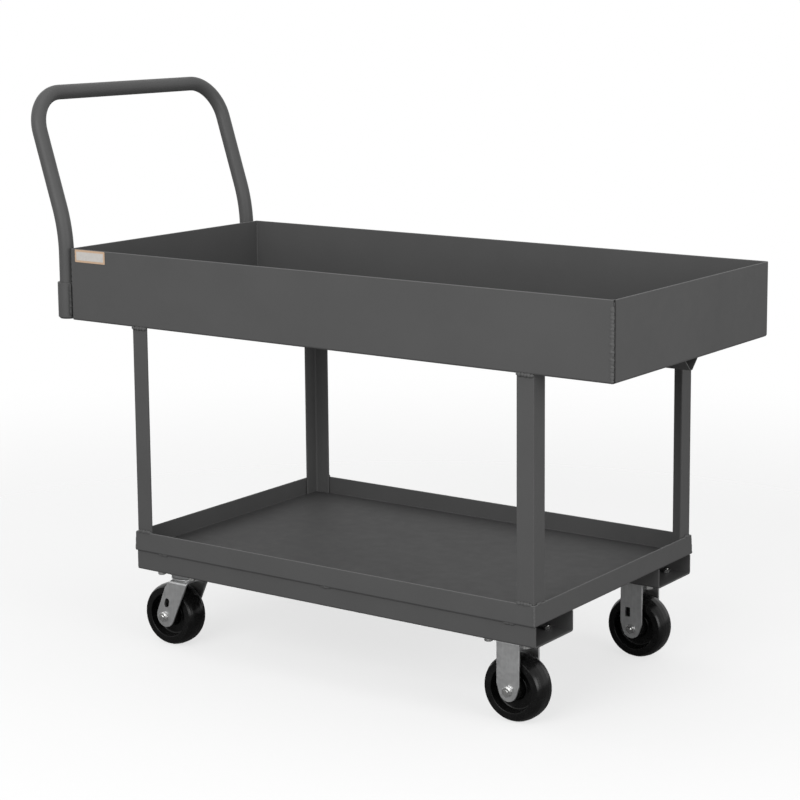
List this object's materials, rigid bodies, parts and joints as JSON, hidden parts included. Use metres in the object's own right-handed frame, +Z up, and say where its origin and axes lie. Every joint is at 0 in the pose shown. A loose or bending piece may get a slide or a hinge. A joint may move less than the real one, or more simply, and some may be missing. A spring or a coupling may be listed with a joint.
{
  "type": "platform cart",
  "caption": "Steel platform cart with a deep open upper tray on angle legs, a lipped lower tray, rigid and swivel casters, and a leaning tube push handle in sockets.",
  "frame": {"origin": "on the floor under the middle of the cart's whole length and width, handle included", "axes": "+Z up; +X along the cart towards its front end, away from the handle; +Y to the left of the person at the handle"},
  "size_m": [1.4492, 0.6284, 1.1753],
  "materials": {
    "grey_enamel": "dark grey baked enamel, semi-gloss",
    "zinc_plate": "bright zinc plating, satin",
    "bearing_steel": "turned and hardened steel, lightly oiled",
    "wheel_black": "moulded black resin, glossy",
    "label_stock": "bare tan label stock"
  },
  "bodies": {
    "frame": {"upper_tray": "grey_enamel", "deck_stiffener": "grey_enamel", "label_plate": "label_stock", "handle_socket_left": "grey_enamel", "handle_socket_right": "grey_enamel", "leg_front_left": "grey_enamel", "leg_front_right": "grey_enamel", "leg_rear_left": "grey_enamel", "leg_rear_right": "grey_enamel", "lower_tray": "grey_enamel", "caster_channel_left": "grey_enamel", "caster_channel_right": "grey_enamel", "rigid_fork_left": "zinc_plate", "rigid_fork_right": "zinc_plate", "swivel_plate_left": "zinc_plate", "swivel_plate_right": "zinc_plate", "swivel_balls_left": "bearing_steel", "swivel_balls_right": "bearing_steel", "kingpin_left": "zinc_plate", "kingpin_right": "zinc_plate", "axle_bolt_front_left": "zinc_plate", "axle_bolt_front_right": "zinc_plate", "axle_nut_front_left": "zinc_plate", "axle_nut_front_right": "zinc_plate", "axle_sleeve_front_left": "bearing_steel", "axle_sleeve_front_right": "bearing_steel", "plate_bolt_front_left_1": "zinc_plate", "plate_bolt_front_left_2": "zinc_plate", "plate_bolt_front_left_3": "zinc_plate", "plate_bolt_front_left_4": "zinc_plate", "plate_bolt_front_right_1": "zinc_plate", "plate_bolt_front_right_2": "zinc_plate", "plate_bolt_front_right_3": "zinc_plate", "plate_bolt_front_right_4": "zinc_plate", "plate_bolt_rear_left_1": "zinc_plate", "plate_bolt_rear_left_2": "zinc_plate", "plate_bolt_rear_left_3": "zinc_plate", "plate_bolt_rear_left_4": "zinc_plate", "plate_bolt_rear_right_1": "zinc_plate", "plate_bolt_rear_right_2": "zinc_plate", "plate_bolt_rear_right_3": "zinc_plate", "plate_bolt_rear_right_4": "zinc_plate"},
    "push_handle": {"handle": "grey_enamel"},
    "swivel_left": {"swivel_fork_left": "zinc_plate", "axle_bolt_rear_left": "zinc_plate", "axle_nut_rear_left": "zinc_plate", "axle_sleeve_rear_left": "bearing_steel"},
    "swivel_right": {"swivel_fork_right": "zinc_plate", "axle_bolt_rear_right": "zinc_plate", "axle_nut_rear_right": "zinc_plate", "axle_sleeve_rear_right": "bearing_steel"},
    "roller_front_left": {"wheel_front_left": "wheel_black", "hub_bearing_front_left": "bearing_steel"},
    "roller_front_right": {"wheel_front_right": "wheel_black", "hub_bearing_front_right": "bearing_steel"},
    "roller_rear_left": {"wheel_rear_left": "wheel_black", "hub_bearing_rear_left": "bearing_steel"},
    "roller_rear_right": {"wheel_rear_right": "wheel_black", "hub_bearing_rear_right": "bearing_steel"}
  },
  "joints": [
    {"name": "handle_lift", "type": "slide", "parent": "frame", "child": "push_handle", "axis": [0, 0, 1], "range_m": [0, 0.0742]},
    {"name": "swivel_turn_left", "type": "hinge", "parent": "frame", "child": "swivel_left", "pos_m": [-0.34856, 0.23405, 0.1495], "axis": [0, 0, 1], "continuous": true},
    {"name": "swivel_turn_right", "type": "hinge", "parent": "frame", "child": "swivel_right", "pos_m": [-0.34856, -0.23405, 0.1495], "axis": [0, 0, 1], "continuous": true},
    {"name": "wheel_spin_front_left", "type": "hinge", "parent": "frame", "child": "roller_front_left", "pos_m": [0.47764, 0.23405, 0.0665], "axis": [0, 1, 0], "continuous": true},
    {"name": "wheel_spin_front_right", "type": "hinge", "parent": "frame", "child": "roller_front_right", "pos_m": [0.47764, -0.23405, 0.0665], "axis": [0, 1, 0], "continuous": true},
    {"name": "wheel_spin_rear_left", "type": "hinge", "parent": "swivel_left", "child": "roller_rear_left", "pos_m": [-0.38906, 0.23405, 0.0665], "axis": [0, 1, 0], "continuous": true},
    {"name": "wheel_spin_rear_right", "type": "hinge", "parent": "swivel_right", "child": "roller_rear_right", "pos_m": [-0.38906, -0.23405, 0.0665], "axis": [0, 1, 0], "continuous": true}
  ]
}
